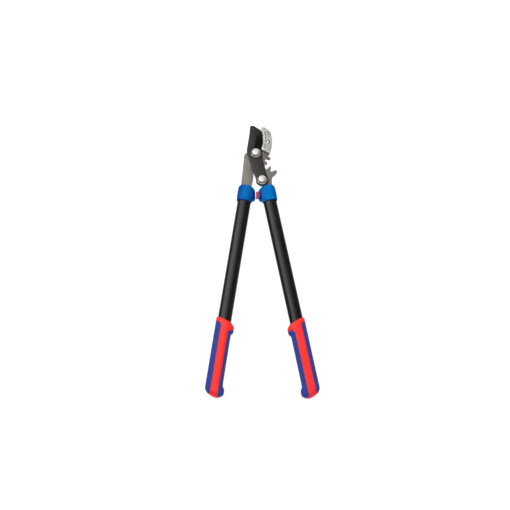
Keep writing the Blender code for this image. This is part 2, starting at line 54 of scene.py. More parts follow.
ABOVE = 40.0  # a height over the whole tool, where cutters end
WHITE = (1.0, 1.0, 1.0, 1.0)

# Pivots and handle frames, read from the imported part.
JOINTS = {joint["name"]: joint for joint in frame["joints"]}
MAIN = tuple(v / MM for v in JOINTS["blade_pivot"]["pos_m"][:2])
LOWER = tuple(v / MM for v in JOINTS["handle_pivot"]["pos_m"][:2])
LOWER_FROM_MAIN = (LOWER[0] - MAIN[0], LOWER[1] - MAIN[1])

# The cross pins' places along a handle.
PIN_AT = (14.2, 1.6)
PIN_RADIUS = 3.0

INWARD = {"left": 1, "right": -1}
BODY = {"left": "left_handle", "right": "right_handle"}

# Gear sectors.
MODULE = 4.5
HOOK_TEETH = 14
ARM_TEETH = 16
TOOTH_THICKNESS = 6.5
PRESSURE_ANGLE = math.radians(20)
HOOK_RADII = (24.9, 35.0)
ARM_RADII = (31.2, 41.6)
HOOK_FIRST_TOOTH = -96.15
ARM_FIRST_TOOTH = 39.0

# A tooth's fillet as (height over the root, share of the half width at the pitch circle), the heights below
# and above its flank, and its tip as (depth below the tip, share of the flank's last half width).
ROOT_FILLET = ((0.0, 1.36), (0.2, 1.24), (0.6, 1.13), (1.2, 1.05), (1.8, 1.01))
FLANK_ENDS = (2.3, 1.2)
TIP_ROUND = ((0.7, 0.87), (0.3, 0.65), (0.07, 0.36), (0.0, 0.1))

# The broad back of the arm's end tooth, as (radius, degrees) about the lower pivot.
HEEL = ((31.5, 27.0), (36.4, 29.8), (39.6, 32.2), (41.2, 34.3), (41.6, 36.6))

# Plates and blade.
PLATE_EDGE = 0.5
TAIL_RADIUS = 14.0
CUT_CENTRE = (-42.9, 34.0)
CUT_RADIUS = 59.5

# Tubes: the oval's half width and half thickness, how square it is, its places along the handle, and the
# plate's end inside it.
TUBE_HALF = (15.0, 10.0)
TUBE_POWER = 2.3
TUBE_WALL = 1.5
TUBE_TOP = 21.0
TUBE_END = -428.0
TUBE_SHOWN = (-6.0, -290.0)
TUBE_POINTS = 72
TANG_HALF = 11.0
TANG_END = -14.0

# Grip: stations down the handle as (along, shear, outer side, inner side, half thickness).
GRIP = (
    (-283.1, -0.31, -16.4, 16.0, 11.9),
    (-285.0, -0.28, -17.9, 18.6, 13.6),
    (-288.3, -0.24, -18.3, 21.4, 14.5),
    (-292.6, -0.14, -18.2, 23.0, 15.0),
    (-298.6, -0.07, -18.0, 23.8, 15.2),
    (-305.4, -0.02, -18.0, 23.6, 15.2),
    (-309.0, -0.01, -18.0, 22.8, 15.3),
    (-312.2, 0.0, -18.0, 20.2, 15.4),
    (-316.0, 0.0, -18.0, 18.9, 15.5),
    (-345.0, 0.0, -17.9, 19.0, 15.6),
    (-414.0, 0.0, -17.7, 19.3, 15.6),
    (-425.4, -0.05, -17.7, 19.9, 15.6),
    (-428.9, -0.07, -17.7, 21.6, 15.6),
    (-431.3, -0.07, -17.7, 23.5, 15.6),
    (-434.1, -0.09, -17.6, 24.3, 15.5),
    (-438.2, -0.13, -17.5, 24.6, 15.5),
    (-442.0, -0.13, -16.1, 24.2, 15.3),
    (-445.2, -0.13, -13.9, 22.2, 14.6),
    (-447.6, -0.13, -11.2, 19.2, 13.4),
    (-449.6, -0.13, -7.2, 16.7, 11.6),
    (-451.2, -0.13, -2.4, 14.3, 9.2),
    (-452.3, -0.13, 1.2, 12.1, 6.4),
    (-452.8, -0.13, 3.8, 10.0, 3.8),
)
GRIP_SHIFT = {"left": 0.0, "right": -5.3}
GRIP_POWER = 2.4
GRIP_FLAT = 15.0
GRIP_FLARE = (-424.0, -448.0)
BORE_END = -429.0
STRIPE_CENTRE = {"left": 3.8, "right": 0.75}
STRIPE_HALF = 8.3
PANEL_DEPTH = 1.5
PANEL_CORNER = {"outer": 7.0, "inner": 9.0}
PANEL_GAP = 0.5
PANEL_EDGE = 0.7
OUTWARDS = {"inner": 1, "outer": -1}

# Where the rounding of the core's lip and of a panel's edge has its points, in from the rim, and the length
# over which the core drops to the end of a panel's seat.
CORE_LIP = 0.35
CORE_STEPS = (0.0, 0.12, 0.35)
PANEL_STEPS = (0.0, 0.04, 0.14, 0.35, 0.7, 1.4)
SEAT_WALL = 0.04

# Where the soft panels start and end; the front stripe lies further out on the right grip.
PANELS = {
    "left": {"outer": (-292.3, -448.4), "inner": (-304.8, -449.8)},
    "right": {"outer": (-292.0, -447.2), "inner": (-303.2, -449.8)},
}

# Collar: stations as (along, outer side, inner side, half thickness), how square its section is, how far its
# lower rim rises in the middle, and the rectangular mouth for the plate.
COLLAR = (
    (-4.8, -16.5, 15.6, 12.2),
    (-3.4, -17.5, 16.3, 13.2),
    (-0.7, -17.9, 17.2, 13.5),
    (0.7, -18.0, 19.1, 13.5),
    (2.0, -18.1, 21.8, 13.5),
    (3.5, -18.3, 23.3, 13.5),
    (6.2, -18.5, 23.8, 13.5),
    (12.0, -18.5, 22.7, 13.5),
    (21.0, -18.4, 20.9, 13.5),
    (26.0, -18.2, 19.4, 13.3),
    (28.8, -17.6, 17.0, 12.8),
    (31.6, -16.1, 13.4, 11.6),
    (33.3, -14.6, 11.5, 9.6),
)
COLLAR_POWER = 2.5
COLLAR_ARCH = 1.2
ARCH_END = -2.0
SLOT_SIDE = (-13.8, 10.8)
SLOT_HALF = 2.8
SLOT_START = 21.4

# The lug's cheek, sunk below the barrel inside a raised rim: where each starts, the cheek's depth and the
# share of it that the rim makes up.
CHEEK_SIDE = (16.8, 17.6)
CHEEK_LOW = (1.5, 3.5)
CHEEK_HIGH = (28.0, 26.0)
CHEEK_RIM = (20.6, 21.3)
CHEEK_RIM_SHARE = 0.75
CHEEK_DEPTH = 0.7

# The bumper's face, from its lower to its upper corner, and its back.
BUMPER_FACE = ((29.0, 9.6), (26.5, 23.4))
BUMPER_BACK = 17.6
BUMPER_CORNER = 1.2

# Fasteners; a rivet is its place from the main pivot and the radius of its seat.
BOLT_SHANK = 5.0
BOLT_FLANGE = 11.0
THREAD_PITCH = 1.5
THREAD_DEPTH = 0.75
HEX_FLAT = 7.9
NUT_FLAT = 8.5
RIVETS = {"anvil_rivet_upper": (25.7, 48.6, 3.6), "anvil_rivet_lower": (27.6, 26.8, 4.3)}
RIVET_SHANK = 2.1
RIVET_FOOT = 3.9
SEAT_DEPTH = 2.9

# Marks on the anvil and the blade's bevel, measured from the main pivot.
GROOVES = (
    ((19.6, 53.0), (21.4, 44.0), (22.2, 35.5), (22.1, 26.0)),
    ((21.6, 20.8), (20.7, 15.5), (19.4, 10.6)),
)
GROOVE_HALF = 0.9
GROOVE_DEPTH = 1.2
DIMPLE = (17.5, 57.2)
DIMPLE_RADIUS = 1.3
BEVEL_LINE = ((-5.4, 12.5), (-1.6, 30.0), (3.4, 66.0))
BEVEL_REACH = (34.0, -4.0)
BEVEL_DROP = 6.6

# Painted shade on each collar: how much its blue is darkened at the crown, and how much more towards its
# outer and inner sides.
COLLAR_PAINTED_SHADE = {"left": (0.28, 0.35, 0.36), "right": (0.0, 0.5, 0.33)}

# Wear and a painted highlight along the edges: the edge radius, in metres, that counts as fully sharp.
SHARP_RADIUS = 0.0007

# Studio: the floor's glow and tone, the room's light, the backdrop's radius, the soft boxes' distance in
# metres, and each box as (name, direction, size in metres, share of full daylight). Full daylight is the
# light that shows a flat white sheet as white.
FLOOR_GLOW = 0.97
FLOOR_TONE = 0.15
ROOM_LIGHT = 0.12
BACKDROP = 8400.0
LIGHT_DISTANCE = 2.4
LIGHTS = (
    ("key", (-0.36, 0.31, 0.88), (1.5, 1.8), 0.68),
    ("head_light", (0.2, 0.8, 0.56), (1.2, 0.8), 0.14),
    ("fill", (0.88, -0.05, 0.47), (1.2, 1.8), 0.04),
    ("front", (0.1, -0.76, 0.64), (1.6, 1.0), 0.14),
)

# Camera: its tilt towards the grips, its distance and half the width that it takes in, in metres, and
# the point it looks at, from the main pivot.
CAMERA_TILT = math.radians(18)
CAMERA_DISTANCE = 2.4
CAMERA_HALF_WIDTH = 0.57
CAMERA_AIM = (-2.14, -237.14)


def layer(node):
    """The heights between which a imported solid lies."""
    low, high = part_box(node)
    return low.z / MM, high.z / MM


MID = sum(layer("left_tube")) / 2


def middle(node):
    low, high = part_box(node)
    return Vector(((low.x + high.x) / 2 / MM, (low.y + high.y) / 2 / MM))


def handle_frame(side):
    """(origin, direction to the right, direction up the handle) from the two pins that cross it."""
    upper, lower = middle(f"{side}_pin_upper"), middle(f"{side}_pin_lower")
    up = (upper - lower).normalized()
    return lower - up * PIN_AT[1], Vector((up.y, -up.x)), up


HANDLES = {side: handle_frame(side) for side in INWARD}


def from_handle(side, across, along):
    """A point of a handle's own frame, with X to the right, in the part's frame."""
    origin, right, up = HANDLES[side]
    return origin + right * across + up * along


def from_main(x, y):
    return MAIN[0] + x, MAIN[1] + y


# ---------------- materials

LOOKS = {}


class Shader:
    """A Principled material with a few calls to wire its textures, kept in LOOKS by its name."""

    def __init__(self, name, **sockets):
        self.material = LOOKS[name] = bpy.data.materials.new(name)
        self.material.use_nodes = True
        self.nodes = self.material.node_tree.nodes
        self.links = self.material.node_tree.links
        self.shader = self.nodes["Principled BSDF"]
        for key, value in sockets.items():
            self.feed(key.replace("_", " "), value)
        self.place = self.nodes.new("ShaderNodeTexCoord").outputs["Object"]

    def node(self, kind, output, **inputs):
        """A new node's output, with each input set to a value or linked to another output."""
        made = self.nodes.new("ShaderNode" + kind)
        for key, value in inputs.items():
            self.connect(made.inputs[key.replace("_", " ")], value)
        return made.outputs[output]

    def connect(self, socket, value):
        if isinstance(value, bpy.types.NodeSocket):
            self.links.new(value, socket)
        else:
            socket.default_value = value

    def stretched(self, scale):
        return self.node("Mapping", "Vector", Vector=self.place, Scale=scale)

    def noise(self, scale, detail=3.0, rough=0.5, place=None):
        facts = {"Scale": scale, "Detail": detail, "Roughness": rough}
        return self.node("TexNoise", "Fac", Vector=place or self.place, **facts)

    def attribute(self, name):
        made = self.nodes.new("ShaderNodeAttribute")
        made.attribute_name = name
        return made.outputs["Fac"]

    def up_the_tool(self, start, stop, share):
        """0 to share between two places, in millimetres above the main pivot."""
        ends = [(MAIN[1] + at) * MM for at in (start, stop)]
        return self.remap(self.node("SeparateXYZ", "Y", Vector=self.place), ends, (0.0, share))

    def math(self, operation, a, b):
        made = self.nodes.new("ShaderNodeMath")
        made.operation = operation
        for socket, value in zip(made.inputs, (a, b)):
            self.connect(socket, value)
        return made.outputs[0]

    def remap(self, value, source, target):
        (from_min, from_max), (to_min, to_max) = source, target
        ends = {"From Min": from_min, "From Max": from_max, "To Min": to_min, "To Max": to_max}
        return self.node("MapRange", "Result", Value=value, **ends)

    def mix(self, share, a, b):
        made = self.nodes.new("ShaderNodeMix")
        made.data_type = "RGBA"
        self.connect(made.inputs[0], share)
        for socket, colour in ((made.inputs[6], a), (made.inputs[7], b)):
            self.connect(socket, (*colour, 1.0) if isinstance(colour, tuple) else colour)
        return made.outputs[2]

    def shade(self, value, source, dark, light):
        """Dark to light as a value crosses a range."""
        return self.mix(self.remap(value, source, (0.0, 1.0)), dark, light)

    def wear_and_edge_highlight(self, base, rubbed_and_lit, share):
        """The base colour, turned towards another on the rounded edges in patches set by a noise: partly wear
        and partly a painted highlight.
        """
        patches = self.math("SUBTRACT", self.noise(420.0, 4.0, 0.6), 0.5)
        edge = self.math("ADD", self.attribute("edge"), patches)
        return self.mix(self.remap(edge, (0.35, 0.6), (0.0, share)), base, rubbed_and_lit)

    def bump(self, height, strength, distance):
        self.feed("Normal", self.node("Bump", "Normal", Height=height, Strength=strength, Distance=distance))

    def feed(self, name, value):
        self.connect(self.shader.inputs[name], value)


def moulded(name, colour, deep, rough, rubbed_and_lit, specular, grain=0.12, fineness=1400.0):
    """Moulded plastic or rubber: a little mottling, paler edges that are partly wear and partly a painted
    highlight, and a fine grain.
    """
    made = Shader(name, Specular_IOR_Level=specular)
    cloud = made.noise(38.0, 4.0, 0.55)
    made.feed("Base Color", made.wear_and_edge_highlight(made.shade(cloud, (0.32, 0.7), deep, colour), rubbed_and_lit, 0.35))
    fine = made.noise(fineness, 3.0, 0.6)
    both = made.math("ADD", made.math("MULTIPLY", cloud, 0.5), made.math("MULTIPLY", fine, 0.5))
    made.feed("Roughness", made.remap(both, (0.3, 0.7), (rough - 0.06, rough + 0.08)))
    made.bump(fine, grain, 0.0003)


def metal(
    name, light, dark, rough, streak, metallic=1.0, rubbed_and_lit=None, grain=0.1, specular=0.5, tint=None, fades=()
):
    """Bare, coated or plated metal: brush lines or rolling streaks, a cloud of stain, and bright edges that
    are partly wear and partly a painted highlight.
    """
    made = Shader(name, Metallic=metallic, Specular_IOR_Level=specular)
    lines = made.noise(1.0, 5.0, 0.6, made.stretched(streak))
    cloud = made.noise(45.0, 5.0, 0.6)
    both = made.math("ADD", made.math("MULTIPLY", lines, 0.45), made.math("MULTIPLY", cloud, 0.55))
    base = made.shade(both, (0.36, 0.64), dark, light)
    if tint:
        base = made.mix(made.remap(made.noise(14.0, 1.0, 0.4), (0.42, 0.6), (0.0, 0.8)), base, tint)
    for start, stop, share, colour in fades:
        base = made.mix(made.up_the_tool(start, stop, share), base, colour)
    if rubbed_and_lit:
        base = made.wear_and_edge_highlight(base, rubbed_and_lit, 0.6)
    made.feed("Base Color", base)
    made.feed("Roughness", made.remap(both, (0.35, 0.65), (rough + 0.07, rough - 0.05)))
    made.bump(lines, grain, 0.0002)


def ground_steel(name):
    """The blade's bevel and sides: fine grinding lines, near black as a painted dark reflection on the bevel
    and as painted shade on the sides, lighter towards the tip.
    """
    made = Shader(name, Metallic=1.0)
    lines = made.noise(1.0, 5.0, 0.6, made.stretched((30.0, 900.0, 60.0)))
    base = made.shade(lines, (0.35, 0.65), (0.011,) * 3, (0.016, 0.0158, 0.0155))
    base = made.mix(made.up_the_tool(36.0, 62.0, 0.8), base, (0.058, 0.0565, 0.0555))
    made.feed("Base Color", made.wear_and_edge_highlight(base, (0.12,) * 3, 0.5))
    made.feed("Roughness", made.remap(lines, (0.35, 0.65), (0.42, 0.34)))
    made.bump(lines, 0.1, 0.0002)


def collar_plastic(name):
    """Moulded blue plastic, with painted shade mixed in where the collar's deep attribute says so."""
    made = Shader(name, Specular_IOR_Level=0.03)
    cloud = made.noise(26.0, 3.0, 0.5)
    base = made.shade(cloud, (0.36, 0.64), (0.0, 0.165, 0.53), (0.0, 0.22, 0.57))
    # Painted shade: a dark navy mixed in by the deep attribute.
    base = made.mix(made.attribute("deep"), base, (0.003, 0.012, 0.22))
    made.feed("Base Color", made.wear_and_edge_highlight(base, (0.02, 0.22, 0.68), 0.3))
    fine = made.noise(1400.0, 3.0, 0.6)
    made.feed("Roughness", made.remap(made.math("ADD", cloud, fine), (0.7, 1.3), (0.32, 0.44)))
    made.bump(fine, 0.12, 0.0003)


def tube_paint(name):
    """Black powder coat: a faint orange-peel skin with a satin shine."""
    made = Shader(name, Specular_IOR_Level=0.275)
    cloud = made.noise(30.0, 4.0, 0.5)
    base = made.shade(cloud, (0.35, 0.65), (0.0028, 0.0028, 0.0025), (0.0045, 0.0045, 0.004))
    made.feed("Base Color", made.wear_and_edge_highlight(base, (0.05,) * 3, 0.3))
    made.feed("Roughness", made.remap(cloud, (0.3, 0.7), (0.31, 0.39)))
    made.bump(made.noise(900.0, 2.0, 0.4), 0.12, 0.0002)


# Metals: the light and dark colours of the cloud, roughness, and how fine the lines are along X, Y and Z.
metal(
    "blade_coat", (0.025, 0.0238, 0.0232), (0.017, 0.0163, 0.016), 0.46, (700.0, 40.0, 60.0),
    metallic=0.4, rubbed_and_lit=(0.08,) * 3, specular=0.3,
    fades=((34.0, 56.0, 0.8, (0.0145, 0.0142, 0.014)), (-2.0, -16.0, 0.7, (0.029, 0.0228, 0.0235))),
)
ground_steel("blade_ground_painted_dark")
metal(
    "plate_steel", (0.213, 0.183, 0.172), (0.15, 0.137, 0.128), 0.5, (500.0, 30.0, 60.0),
    metallic=0.3, rubbed_and_lit=(0.26, 0.25, 0.235), specular=0.35, tint=(0.163, 0.165, 0.149),
)
# The plates' cut edges: darker sheared steel, with painted shade on top of it.
metal(
    "plate_cut_and_painted_shade", (0.05, 0.048, 0.045), (0.028, 0.027, 0.026), 0.55, (60.0, 60.0, 900.0),
    metallic=0.3, rubbed_and_lit=(0.16, 0.155, 0.15), grain=0.2, specular=0.3,
)
metal(
    "anvil_cast", (0.54, 0.54, 0.525), (0.2, 0.2, 0.195), 0.45, (320.0,) * 3,
    metallic=0.4, rubbed_and_lit=(0.62, 0.62, 0.61), grain=0.35,
)
# Painted shade: a darker copy of the cast metal for the anvil's grooves and rivet seats.
metal(
    "anvil_painted_shade", (0.2, 0.2, 0.195), (0.1, 0.1, 0.098), 0.6, (400.0,) * 3,
    metallic=0.3, grain=0.3, specular=0.3,
)
metal(
    "bright_zinc", (0.58, 0.572, 0.55), (0.4, 0.393, 0.378), 0.34, (300.0,) * 3,
    metallic=0.85, rubbed_and_lit=(0.85, 0.84, 0.82), grain=0.05,
)
# Painted shade: a darker copy of the zinc for the hex heads' upright sides.
metal(
    "zinc_painted_shade", (0.11, 0.108, 0.104), (0.06, 0.059, 0.057), 0.4, (300.0,) * 3,
    metallic=0.85, rubbed_and_lit=(0.55, 0.54, 0.53), grain=0.05,
)
metal("rivet_steel", (0.5, 0.5, 0.48), (0.36, 0.36, 0.35), 0.35, (300.0,) * 3, grain=0.05)

tube_paint("tube_black")
collar_plastic("collar_blue")
moulded("grip_red", (1.0, 0.032, 0.027), (1.0, 0.028, 0.024), 0.42, (1.0, 0.16, 0.14), 0.22)
moulded(
    "grip_blue", (0.036, 0.06, 0.34), (0.028, 0.046, 0.28), 0.6, (0.1, 0.15, 0.48), 0.2,
    grain=0.3, fineness=2600.0,
)
moulded(
    "bumper_red", (0.42, 0.036, 0.11), (0.34, 0.03, 0.09), 0.55, (0.6, 0.2, 0.3), 0.25,
    grain=0.25, fineness=2000.0,
)


# ---------------- shapes


def placed(name, data):
    """A new object of the scene, at the origin; its data takes its name."""
    data.name = name
    made = bpy.data.objects.new(name, data)
    bpy.context.scene.collection.objects.link(made)
    return made


def reworked(mesh, *steps):
    """The mesh after a few bmesh steps."""
    edit = bmesh.new()
    edit.from_mesh(mesh)
    for step in steps:
        step(edit)
    edit.to_mesh(mesh)
    edit.free()
    return mesh


def weld(edit):
    bmesh.ops.remove_doubles(edit, verts=edit.verts, dist=2e-6)


def drop_slivers(edit):
    bmesh.ops.dissolve_degenerate(edit, edges=edit.edges, dist=1e-6)


def face_out(edit):
    bmesh.ops.recalc_face_normals(edit, faces=edit.faces)


def mark_edges(mesh):
    """Writes how sharply each vertex's surroundings bend outwards, for wear and a painted highlight on the
    edges.
    """
    edit = bmesh.new()
    edit.from_mesh(mesh)
    found = [0.0] * len(edit.verts)
    for edge in edit.edges:
        angle, length = edge.calc_face_angle_signed(0.0), edge.calc_length()
        if angle <= 0.02 or length < 1e-7:
            continue
        width = 0.5 * sum(face.calc_area() for face in edge.link_faces) / length
        bend = min(1.0, angle / max(width, 1e-6) * SHARP_RADIUS)
        for vertex in edge.verts:
            found[vertex.index] = max(found[vertex.index], bend)
    edit.free()
    mesh.attributes.new("edge", "FLOAT", "POINT").data.foreach_set("value", found)


def finished(name, mesh, looks, body, nodes, smooth):
    """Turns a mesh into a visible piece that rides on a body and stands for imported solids."""
    reworked(mesh, weld, drop_slivers, face_out)
    mesh.materials.clear()
    for look in looks:
        mesh.materials.append(LOOKS[look])
    mesh.shade_smooth()
    mesh.set_sharp_from_angle(angle=math.radians(smooth))
    mark_edges(mesh)
    piece = placed(name, mesh)
    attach(piece, body)
    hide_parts(*nodes)
    return piece


def second_finish(piece, chosen):
    """Gives the piece's second finish to the faces chosen by centre, in millimetres, and normal."""
    for face in piece.data.polygons:
        if chosen(face.center / MM, face.normal):
            face.material_index = 1


def upright(_, normal):
    return abs(normal.z) < 0.6


def raw_mesh(points, faces):
    mesh = bpy.data.meshes.new("raw")
    mesh.from_pydata([(x * MM, y * MM, z * MM) for x, y, z in points], [], faces)
    return mesh


def loft_mesh(rings, ends_closed=True):
    """A surface through rings of equal count, capped at both ends or closed on itself."""
    count = len(rings[0])
    faces = []
    for k in range(len(rings) - 1 if ends_closed else len(rings)):
        low = k * count
        high = (k + 1) % len(rings) * count
        for i in range(count):
            j = (i + 1) % count
            faces.append((low + i, low + j, high + j, high + i))
    if ends_closed:
        start = (len(rings) - 1) * count
        faces.append(tuple(range(count)))
        faces.append(tuple(range(start, start + count)))
    return raw_mesh([point for ring in rings for point in ring], faces)


def prism_mesh(outline, heights):
    return loft_mesh([[(x, y, z) for x, y in outline] for z in heights])


def evaluated_mesh(obj):
    graph = bpy.context.evaluated_depsgraph_get()
    return bpy.data.meshes.new_from_object(obj.evaluated_get(graph))


def plate_mesh(loops, heights, edge):
    """A plate with rounded edges, from an outline and its holes."""
    curve = bpy.data.curves.new("plate", "CURVE")
    curve.dimensions = "2D"
    curve.fill_mode = "BOTH"
    for loop in loops:
        line = curve.splines.new("POLY")
        line.points.add(len(loop) - 1)
        for point, (x, y) in zip(line.points, loop):
            point.co = (x * MM, y * MM, 0.0, 1.0)
        line.use_cyclic_u = True
    half = (heights[1] - heights[0]) / 2
    curve.extrude = (half - edge) * MM
    curve.bevel_depth = edge * MM
    curve.bevel_resolution = 2
    curve.offset = -edge * MM
    maker = placed("plate", curve)
    mesh = evaluated_mesh(maker)
    bpy.data.objects.remove(maker)
    bpy.data.curves.remove(curve)
    mesh.transform(Matrix.Translation((0, 0, sum(heights) / 2 * MM)))
    return reworked(mesh, weld)


def carved(mesh, cutters):
    """The mesh with closed shapes cut out of it."""
    maker = placed("carving", mesh)
    helpers = [placed("cutter", reworked(shape, face_out)) for shape in cutters]
    for helper in helpers:
        step = maker.modifiers.new("cut", "BOOLEAN")
        step.operation = "DIFFERENCE"
        step.solver = "EXACT"
        step.object = helper
    made = evaluated_mesh(maker)
    for obj in (maker, *helpers):
        old = obj.data
        bpy.data.objects.remove(obj)
        bpy.data.meshes.remove(old)
    return made


def spread(start, end, count):
    return [start + (end - start) * k / count for k in range(count + 1)]


def turns(count):
    """The angles of a full turn, in equal steps."""
    return [2 * math.pi * i / count for i in range(count)]


def circle(x, y, radius, count):
    return [(x + radius * math.cos(a), y + radius * math.sin(a)) for a in turns(count)]


def level_ring(radius, z, centre, count=ROUND):
    return [(x, y, z) for x, y in circle(*centre, radius, count)]


def turned(profile, centre, count=ROUND):
    """Level rings about a centre, from a profile of (radius, height)."""
    return [level_ring(radius, z, centre, count) for radius, z in profile]


def polar(centre, radius, degrees):
    a = math.radians(degrees)
    return centre[0] + radius * math.cos(a), centre[1] + radius * math.sin(a)


def arc(centre, radius, start, end, count):
    return [polar(centre, radius, degrees) for degrees in spread(start, end, count)]


def rounded(corners, closed=False):
    """A run of corners given as (x, y, radius), each rounded; an open run keeps its two ends sharp."""
    found = []
    count = len(corners)
    for i, (x, y, radius) in enumerate(corners):
        if not closed and i in (0, count - 1):
            found.append((x, y))
            continue
        sides = []
        for px, py, _ in (corners[i - 1], corners[(i + 1) % count]):
            length = math.hypot(px - x, py - y)
            sides.append(((px - x) / length, (py - y) / length))
        (ax, ay), (bx, by) = sides
        half = math.acos(max(-1.0, min(1.0, ax * bx + ay * by))) / 2
        reach = radius / math.tan(half)
        for t in spread(0.0, 1.0, 6):
            before, after = reach * (1 - t) ** 2, reach * t**2
            found.append((x + ax * before + bx * after, y + ay * before + by * after))
    return found


def spline(a, b, c, d, t):
    """A smooth curve's value a share t of the way from b to c, with a and d as its outer neighbours."""
    bend = 2 * a - 5 * b + 4 * c - d
    twist = 3 * b - a - 3 * c + d
    return 0.5 * (2 * b + (c - a) * t + bend * t**2 + twist * t**3)


def smooth_run(points, steps=6):
    padded = [points[0], *points, points[-1]]
    found = []
    for near in zip(padded, padded[1:], padded[2:], padded[3:]):
        for k in range(steps):
            found.append(tuple(spline(*values, k / steps) for values in zip(*near)))
    return found + [points[-1]]


def involute(angle):
    return math.tan(angle) - angle


def tooth(centre, angle, teeth, radii):
    """One involute tooth with a rounded tip and a filleted root, from its clockwise side to the other."""
    pitch = MODULE * teeth / 2
    base = pitch * math.cos(PRESSURE_ANGLE)
    root, tip = radii
    at_pitch = TOOTH_THICKNESS / (2 * pitch) + involute(PRESSURE_ANGLE)
    side = [(root + rise, at_pitch * share) for rise, share in ROOT_FILLET]
    for radius in spread(max(base, root + FLANK_ENDS[0]), tip - FLANK_ENDS[1], 7):
        side.append((radius, at_pitch - involute(math.acos(min(1.0, base / radius)))))
    edge = side[-1][1]
    side += [(tip - drop, edge * share) for drop, share in TIP_ROUND]
    whole = [(r, -h) for r, h in side] + [(r, h) for r, h in reversed(side)]
    return [polar(centre, r, angle + math.degrees(h)) for r, h in whole]


def sector(centre, first, count, teeth, radii):
    step = 360 / teeth
    return [p for k in range(count) for p in tooth(centre, first + step * k, teeth, radii)]


def tang(side):
    """The end of a plate inside the collar and the tube, from its outer side to its inner side."""
    places = (
        (-13.3, 37.0),
        (-13.3, 24.0),
        (-TANG_HALF, 19.5),
        (-TANG_HALF, TANG_END + 4),
        (-TANG_HALF + 4, TANG_END),
        (TANG_HALF - 4.5, TANG_END),
        (TANG_HALF - 0.5, TANG_END + 4),
        (TANG_HALF - 0.5, 24.0),
        (10.3, 37.0),
    )
    points = [from_handle(side, inward * INWARD[side], along) for inward, along in places]
    return [(point.x - MAIN[0], point.y - MAIN[1]) for point in points]


def blade_edge(grow, start, end, count):
    """The blade's cutting edge, an arc, moved outwards by grow."""
    return arc(CUT_CENTRE, CUT_RADIUS + grow, start, end, count)


def hook_plate_outline():
    outline = tang("left")
    outline += [(-7.0, -65.1), (-6.0, -55.3), (-5.6, -48.0), (-6.6, -40.0), (-8.8, -31.0)]
    outline += sector((0, 0), HOOK_FIRST_TOOTH, 4, HOOK_TEETH, HOOK_RADII)
    outline += [(25.9, -5.4), (27.4, -3.4), (29.9, -1.6)]
    back = [(31.2, 1.6), (33.0, 8.0), (34.7, 14.6), (35.6, 21.3), (35.9, 30.2), (35.4, 38.0)]
    outline += smooth_run(back, 3)
    outline += [(34.4, 45.7), (33.0, 50.2), (31.3, 53.3)]
    outline += [(27.0, 56.2), (23.4, 58.2), (21.8, 60.6), (17.2, 62.4), (13.6, 63.2), (13.2, 59.0)]
    outline += blade_edge(1.4, 22.5, -17.0, 24)
    outline += arc((0, 0), 19.8, 42, 164, 30)
    outline += smooth_run([(-22.2, 2.9), (-25.4, -0.9), (-27.2, -5.8), (-27.9, -16.0)], 3)
    outline += [(-30.15, -40.5), (-32.9, -65.1)]
    return outline


def arm_plate_outline():
    teeth = sector(LOWER_FROM_MAIN, ARM_FIRST_TOOTH, 4, ARM_TEETH, ARM_RADII)
    back = [(36.2, -65.1), (36.3, -61.0), (36.9, -57.4), (38.7, -54.6)]
    outline = smooth_run([*back, *(polar(LOWER_FROM_MAIN, *place) for place in HEEL)], 3)
    outline += teeth[len(teeth) // 8 :]
    outline += [(-0.5, -44.0), (0.2, -52.0)]
    outline += arc(LOWER_FROM_MAIN, 13.6, 165, 205, 8)
    outline += tang("right")[::-1]
    return outline


def blade_outline():
    right = smooth_run([(12.4, 11.4), (13.7, 1.0), (16.6, -20.5), (21.8, -43.3), (27.6, -62.0)])
    left = [(0.3, -63.0), (-7.4, -43.3), (-13.6, -21.3), (-20.4, 1.0), (-20.3, 12.0), (-17.4, 32.0)]
    tip = [(12.4, 56.4, 0), (11.6, 57.6, 0.8), (-5.2, 68.7, 3.0), (-13.6, 68.7, 4.0), (-14.6, 51.0, 0)]
    outline = right[::-1][:-1]
    outline += blade_edge(0, -20.5, 20.6, 28)
    outline += rounded(tip)
    outline += smooth_run(left)[::-1]
    outline += arc(LOWER_FROM_MAIN, TAIL_RADIUS, 170, 375, 40)[1:]
    return outline


def anvil_outline():
    """The anvil piece: its inner side faces the cutting edge."""
    outline = [(13.6, 7.5), (30.9, -1.4)]
    outline += smooth_run([(32.7, 2.4), (35.8, 14.6), (36.9, 29.0), (36.3, 38.5), (34.4, 49.0)])
    corners = [(33.6, 51.0, 0), (32.2, 54.1, 2.0), (27.8, 57.4, 3.0), (24.0, 59.2, 1.2)]
    corners += [(22.5, 61.9, 1.5), (17.5, 63.8, 4.0), (12.0, 64.6, 1.5), (12.2, 59.6, 0)]
    outline += rounded(corners)
    outline += blade_edge(0.35, 21.6, -21.2, 28)
    return outline


def shifted(points, centre):
    return [(x + centre[0], y + centre[1]) for x, y in points]


def groove_outline(run, half):
    """A narrow groove along a run of points."""
    left, right = [], []
    for i, (x, y) in enumerate(run):
        ax, ay = run[max(i - 1, 0)]
        bx, by = run[min(i + 1, len(run) - 1)]
        length = math.hypot(bx - ax, by - ay)
        nx, ny = -(by - ay) / length * half, (bx - ax) / length * half
        left.append((x + nx, y + ny))
        right.append((x - nx, y - ny))
    return right + left[::-1]


def power(value, exponent):
    return math.copysign(abs(value) ** exponent, value)


def oval_point(angle, half_width, half_thick, exponent):
    """A point of a squared-off oval about the origin."""
    across, height = (power(value, 2 / exponent) for value in (math.cos(angle), math.sin(angle)))
    return half_width * across, half_thick * height


def smooth_step(low, high, value):
    """0 to 1 as a value goes from low to high, level at both ends."""
    t = max(0.0, min(1.0, (value - low) / (high - low)))
    return t * t * (3 - 2 * t)


